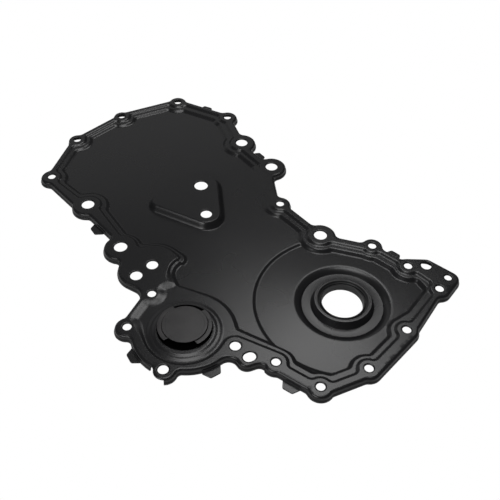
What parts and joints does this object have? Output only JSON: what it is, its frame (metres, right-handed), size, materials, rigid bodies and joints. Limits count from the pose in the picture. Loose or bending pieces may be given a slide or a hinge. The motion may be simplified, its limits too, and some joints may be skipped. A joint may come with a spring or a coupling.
{
  "type": "timing cover",
  "caption": "Pressed sheet-steel timing cover with a stepped bolting rim, a raised three-cornered pad, a round crankshaft seal in a drawn collar and a plastic access cap.",
  "frame": {"origin": "on the crankshaft axis, at the middle of the seal lip's land", "axes": "+Z away from the engine along the crankshaft, +Y from the crankshaft towards the camshafts, +X to the right seen from the front"},
  "size_m": [0.3481, 0.5068, 0.0162],
  "materials": {
    "cover_paint": "satin",
    "seal_steel": "satin",
    "seal_rubber": "matte",
    "cap_plastic": "matte"
  },
  "bodies": {
    "root": {"cover_pressing": "cover_paint", "seal_case": "seal_steel", "seal_rubber": "seal_rubber", "garter_spring": "seal_steel", "access_cap": "cap_plastic", "cap_ring": "seal_rubber"}
  },
  "joints": []
}
